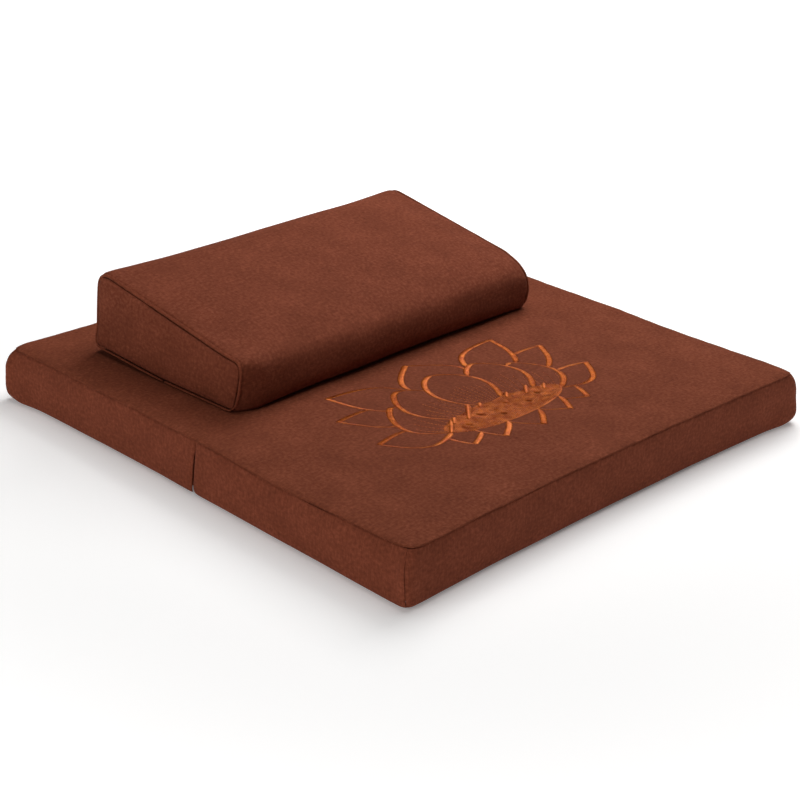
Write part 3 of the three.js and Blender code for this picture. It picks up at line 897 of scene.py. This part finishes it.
# A stitch of length and width 1 that lies along X, with its height in metres.
bpy.ops.object.select_all(action="DESELECT")
bpy.ops.mesh.primitive_cylinder_add(vertices=3, radius=1, depth=1, rotation=(0, math.pi / 2, 0))
bar = bpy.context.object
bpy.ops.object.transform_apply(rotation=True)
bpy.ops.object.mode_set(mode="EDIT")
for cut in STITCH_CUTS:
    bpy.ops.mesh.select_all(action="SELECT")
    bpy.ops.mesh.bisect(plane_co=(cut, 0, 0), plane_no=(1, 0, 0))
bpy.ops.object.mode_set(mode="OBJECT")
STITCH_POINTS = places_of(bar)
across, high = STITCH_POINTS[:, 1], STITCH_POINTS[:, 2]
STITCH_POINTS[:, 1] = across / np.ptp(across)
STITCH_POINTS[:, 2] = (high - high.min()) / np.ptp(high) * THREAD_HIGH - SUNK
STITCH_FACES = [list(face.vertices) for face in bar.data.polygons]
bpy.data.objects.remove(bar)
print("one stitch has", len(STITCH_POINTS), "points")


def sew(name, rows, wide, bow):
    """Lays stitches on the top cloth, as one mesh. A row is a place, the thread's angle and length."""
    x, y, angle, long = rows.T
    wide, bow = np.broadcast_to(wide, len(rows)), np.broadcast_to(bow, len(rows))
    along = STITCH_POINTS[None, :, 0] * long[:, None]
    across = STITCH_POINTS[None, :, 1] * wide[:, None]
    turn_x, turn_y = np.cos(angle)[:, None], np.sin(angle)[:, None]
    px = x[:, None] + along * turn_x - across * turn_y
    py = y[:, None] + along * turn_y + across * turn_x
    rise = bow[:, None] * (1 - (2 * STITCH_POINTS[None, :, 0]) ** 2)
    pz = cloth_height(px, py) + STITCH_POINTS[None, :, 2] + rise
    points = np.stack([px, py, pz], axis=2).reshape(-1, 3)
    step = len(STITCH_POINTS)
    faces = [[corner + step * i for corner in face] for i in range(len(x)) for face in STITCH_FACES]
    mesh = bpy.data.meshes.new(name)
    mesh.from_pydata(points.tolist(), [], faces)
    own = np.array([corner for face in faces for corner in face])
    stitch, corner = own // step, own % step
    layer = mesh.uv_layers.new(name="thread")
    across_along = [STITCH_POINTS[corner, 1] * wide[stitch], STITCH_POINTS[corner, 0] * long[stitch]]
    layer.data.foreach_set("uv", np.stack(across_along, axis=1).astype(np.float32).ravel())
    piece = into_scene(name, mesh)
    only(piece)
    bpy.ops.object.mode_set(mode="EDIT")
    bpy.ops.mesh.select_all(action="SELECT")
    bpy.ops.mesh.normals_make_consistent(inside=False)
    bpy.ops.object.mode_set(mode="OBJECT")
    bpy.ops.object.shade_smooth()
    dress(piece, THREAD, "embroidery_thread")
    print(name, "has", len(rows), "stitches and", count(piece), "triangles")


top_tree = BVHTree.FromObject(top_sheet, bpy.context.evaluated_depsgraph_get())


def cloth_height(x, y):
    """Height of the top cloth's upper face at each place."""
    hits = [top_tree.ray_cast((*spot, ABOVE), (0, 0, -1))[0] for spot in zip(x.ravel(), y.ravel())]
    return np.array([hit.z for hit in hits]).reshape(x.shape)


# %% [markdown]
# The flower is drawn from petals. A petal is a straight line from its base to its tip, and a width
# that swells and shrinks along it. Rounded petals stand in front, pointed ones behind, and short ones
# hang below the seed pod. A petal hides what lies behind it, so the parts of an outline that fall
# inside a nearer petal are left out. The lines swell like those of a pen held slanting: thick where
# they run up to the right, thin where they run down to the right. The thread is smooth polyester. Shaded
# as part metal with stretched highlights it gives the eye a silky gloss across its filaments, and the
# map called thread says which way they lie.

# %% Lotus outlines
LOTUS_AT = (-20.5 * MM, -181 * MM)
UNIT = 0.95 * MM  # the step in which the flower is drawn
POD_HALF_WIDTH, POD_TOP, POD_BOTTOM = 105, 20, -32
POD_BUMP, POD_BUMPS = 4, 6
PITCH = 0.85 * MM
THIN, THICK = 2.1 * MM, 8.2 * MM
PEN = math.radians(45)
TAPER = 9 * MM
PEN_SWELL = 2.0
POD_LINE = 2.4 * MM
OUTLINE_STEPS = 160
STRANDS_A_METRE, TINTS_A_METRE, THREAD_TONES = 900, 130, (0.36, 0.64)

# Each petal: base, tip, half width, where along it is widest, how blunt its ends are, and its bend.
PETAL_PARTS = ("base", "tip", "wide", "belly", "point", "bend")
PETALS = [dict(zip(PETAL_PARTS, row)) for row in (
    ((0, 4), (0, 127), 43, 0.57, 0.6, 0),
    ((46, -2), (72, 118), 37, 0.58, 0.6, 6),
    ((84, -12), (112, 88), 33, 0.52, 0.65, 10),
    ((0, 60), (0, 172), 52, 0.5, 1.0, 0),
    ((50, 62), (152, 160), 36, 0.5, 1.0, -4),
    ((80, 40), (188, 102), 27, 0.5, 1.0, -3),
    ((96, -4), (193, 26), 25, 0.48, 1.0, 4),
    ((0, -14), (0, -66), 28, 0.32, 1.0, 0),
    ((50, -10), (61, -58), 25, 0.32, 1.0, 0),
    ((96, 4), (106, -48), 24, 0.4, 0.9, 5),
)]


def petal_spine(petal):
    """A petal's middle line from base to tip, its half width along it, and the way to its side."""
    base, tip = np.array(petal["base"]) * UNIT, np.array(petal["tip"]) * UNIT
    axis = tip - base
    side = np.array([axis[1], -axis[0]]) / np.hypot(*axis)
    s = np.linspace(0, 1, OUTLINE_STEPS)
    power = math.log(0.5) / math.log(petal["belly"])
    half = petal["wide"] * UNIT * np.sin(np.pi * s ** power).clip(0) ** petal["point"]
    middle = base + s[:, None] * axis + (petal["bend"] * UNIT * np.sin(np.pi * s))[:, None] * side
    return middle, half, side


def petal_outline(petal, mirror):
    """The points of a petal's outline, from its base round the tip and back."""
    middle, half, side = petal_spine(petal)
    right, left = middle + half[:, None] * side, middle - half[:, None] * side
    outline = np.concatenate([left, right[::-1][1:]])
    return outline * (mirror, 1) + LOTUS_AT


def mirrors_of(petal):
    """The middle petals stand alone. The others come in pairs, left and right."""
    return (1,) if petal["base"][0] == 0 else (-1, 1)


def pod_outline():
    """The pod's outline, a shallow bowl with a low domed top that follows its seeds."""
    turn = np.linspace(0, math.tau, 2 * OUTLINE_STEPS)
    top = POD_TOP + POD_BUMP * np.abs(np.sin(POD_BUMPS * turn))
    high = np.where(np.sin(turn) > 0, top, -POD_BOTTOM)
    return np.stack([POD_HALF_WIDTH * np.cos(turn), high * np.sin(turn)], axis=1) * UNIT + LOTUS_AT


def inside(points, outline):
    """Which points lie inside a closed outline."""
    hit = np.zeros(len(points), bool)
    for (ax, ay), (bx, by) in zip(outline, np.roll(outline, -1, axis=0)):
        if ay == by:
            continue
        between = (ay > points[:, 1]) != (by > points[:, 1])
        hit ^= between & (points[:, 0] < ax + (points[:, 1] - ay) * (bx - ax) / (by - ay))
    return hit


def even_steps(line, step):
    """Points at even steps along a line."""
    far = np.concatenate([[0], np.cumsum(np.hypot(*np.diff(line, axis=0).T))])
    at = np.arange(step / 2, far[-1], step)
    return np.stack([np.interp(at, far, line[:, k]) for k in (0, 1)], axis=1)


def satin_line(line, hidden_by, thickest=THICK, taper=TAPER):
    """Places, angles and lengths of the satin stitches along the shown parts of a line."""
    points = even_steps(line, PITCH)
    run = np.gradient(points, axis=0)
    heading = np.arctan2(run[:, 1], run[:, 0])
    shown = np.ones(len(points), bool)
    for outline in hidden_by:
        shown &= ~inside(points, outline)
    ends = np.flatnonzero(np.diff(np.concatenate([[0], shown, [0]]).astype(int)))
    to_end = np.min([np.abs(np.arange(len(points)) - end) for end in ends], axis=0) * PITCH
    swell = np.abs(np.cos(heading - PEN)) ** PEN_SWELL
    wide = THIN + (thickest - THIN) * swell * (1 - fade(to_end, taper))
    return np.column_stack([points, heading + math.pi / 2, wide])[shown]


# Bright polyester embroidery thread: smooth filaments that shine across their length.
THREAD, tree = new_material("silky_orange_thread")
place = add(tree, "TexCoord").outputs["Object"]
strands, tints = (
    add(tree, "TexNoise", {"Vector": place, "Scale": scale, "Detail": 1.0})
    for scale in (STRANDS_A_METRE, TINTS_A_METRE)
)
ramp = add(tree, "ValToRGB", {0: mixed(tree, 0.5, strands, tints)})
stops = ramp.color_ramp.elements
stops[0].position, stops[1].position = THREAD_TONES
stops[0].color, stops[1].color = linear("#a54214"), linear("#d27226")
shade(tree, {
    "Base Color": ramp,
    "Metallic": 0.7,
    "Roughness": 0.36,
    "Anisotropic": 0.55,
    "IOR": 1.5,
    "Tangent": add(tree, "Tangent", direction_type="UV_MAP", uv_map="thread"),
})

# The outlines are laid from the nearest petal to the furthest.
nearer = [pod_outline()]
rows = [satin_line(nearer[0], [], POD_LINE)]
for petal in PETALS:
    outlines = [petal_outline(petal, mirror) for mirror in mirrors_of(petal)]
    rows += [satin_line(outline, nearer) for outline in outlines]
    nearer += outlines
lines = np.concatenate(rows)
sew("lotus_outlines", lines, THREAD_WIDE, SATIN_BOW * (lines[:, 3] / THICK) ** 2)

# %% [markdown]
# The seed pod is filled with rows of longer stitches, each row moved along by half a stitch, and their
# direction wanders from patch to patch, which is what makes a filled area shimmer. A few short satin
# bars along the top are stamens, and a few raised threads on the pod are seeds. Fine single lines fan
# out inside the front petals.

# %% Lotus pod, stamens and veins
FILL_LONG, FILL_APART, FILL_ROW = 6.0 * MM, 5.2 * MM, 1.0 * MM
FILL_LEAN, FILL_TURN, FILL_PATCH = math.radians(34), math.radians(46), 9 * MM
FILL_FINE = 0.6
FILL_WIDE, FILL_BOW = 1.3 * MM, 0.3 * MM


def pod_fill():
    """Rows of fill stitches inside the pod."""
    across = np.arange(-POD_HALF_WIDTH * UNIT, POD_HALF_WIDTH * UNIT, FILL_APART)
    up = np.arange(POD_BOTTOM * UNIT, (POD_TOP + POD_BUMP) * UNIT, FILL_ROW)
    column, row = np.meshgrid(np.arange(len(across)), np.arange(len(up)))
    x = across[column] + (row % 2) * FILL_APART / 2 + LOTUS_AT[0]
    y = up[row] + LOTUS_AT[1]
    points = np.stack([x.ravel(), y.ravel()], axis=1)
    points = points[inside(points, pod_outline())]
    places = np.column_stack([points, np.zeros(len(points))])
    fine = FILL_FINE * lumps(places, FILL_PATCH / 2, seed=42)
    angle = FILL_LEAN + FILL_TURN * (lumps(places, FILL_PATCH, seed=41) + fine)
    return np.column_stack([points, angle, np.full(len(points), FILL_LONG)])


SEEDS = [(-72, -8), (-40, 4), (-14, -12), (12, 6), (38, -8), (66, 2)]
SEED_LONG, SEED_THREADS, SEED_APART, SEED_BOW = 9 * MM, 4, 0.95 * MM, 1.4 * MM
# A few threads lie side by side for each seed.
seeds = []
for (u, v), k in itertools.product(SEEDS, range(SEED_THREADS)):
    off = (k - (SEED_THREADS - 1) / 2) * SEED_APART
    x = u * UNIT + off * math.cos(PEN) + LOTUS_AT[0]
    y = v * UNIT + off * math.sin(PEN) + LOTUS_AT[1]
    seeds.append((x, y, PEN - math.pi / 2, SEED_LONG))

VEIN_LONG, VEIN_PITCH, VEIN_WIDE, VEIN_BOW = 3.2 * MM, 4.6 * MM, 0.5 * MM, 0.05 * MM
VEIN_SPREAD, VEIN_FROM, VEIN_TO, VEIN_SHORTER = 0.75, 0.05, 0.66, 0.25
VEINS = [9, 6, 5]


def veins():
    """Single running stitches that fan out from the base of the front petals."""
    rows, nearer = [], [pod_outline()]
    for petal, veins_here in zip(PETALS, VEINS):
        middle, half, side = petal_spine(petal)
        s = np.linspace(0, 1, OUTLINE_STEPS)
        for share in np.linspace(-VEIN_SPREAD, VEIN_SPREAD, veins_here):
            shown = (s > VEIN_FROM) & (s < VEIN_TO - VEIN_SHORTER * abs(share))
            line = middle[shown] + share * half[shown, None] * side
            for mirror in mirrors_of(petal):
                points = even_steps(line * (mirror, 1) + LOTUS_AT, VEIN_PITCH)
                run = np.gradient(points, axis=0)
                angle = np.arctan2(run[:, 1], run[:, 0])
                seen = ~np.any([inside(points, outline) for outline in nearer], axis=0)
                rows.append(np.column_stack([points, angle, np.full(len(points), VEIN_LONG)])[seen])
        nearer += [petal_outline(petal, mirror) for mirror in mirrors_of(petal)]
    return np.concatenate(rows)


# Each stamen: where its middle is, and how long it is. They lean to the right like the pen.
STAMEN_WIDE, STAMEN_TAPER, STAMEN_BOW = 6.0 * MM, 3 * MM, 0.9 * MM
STAMENS = [
    (-94, 2, 34), (-78, 12, 20), (-48, 16, 38), (-20, 22, 14), (30, 22, 16), (62, 17, 26), (88, 9, 18),
]
bars = []
for u, v, long in STAMENS:
    half = np.array([math.cos(PEN), math.sin(PEN)]) * long * UNIT / 2
    middle = np.array([u, v]) * UNIT + LOTUS_AT
    bars.append(satin_line(np.array([middle - half, middle + half]), [], STAMEN_WIDE, STAMEN_TAPER))

sew("lotus_pod", pod_fill(), FILL_WIDE, FILL_BOW)
sew("lotus_stamens", np.concatenate(bars), THREAD_WIDE, STAMEN_BOW)
sew("lotus_seeds", np.array(seeds), THREAD_WIDE, SEED_BOW)
sew("lotus_veins", veins(), VEIN_WIDE, VEIN_BOW)
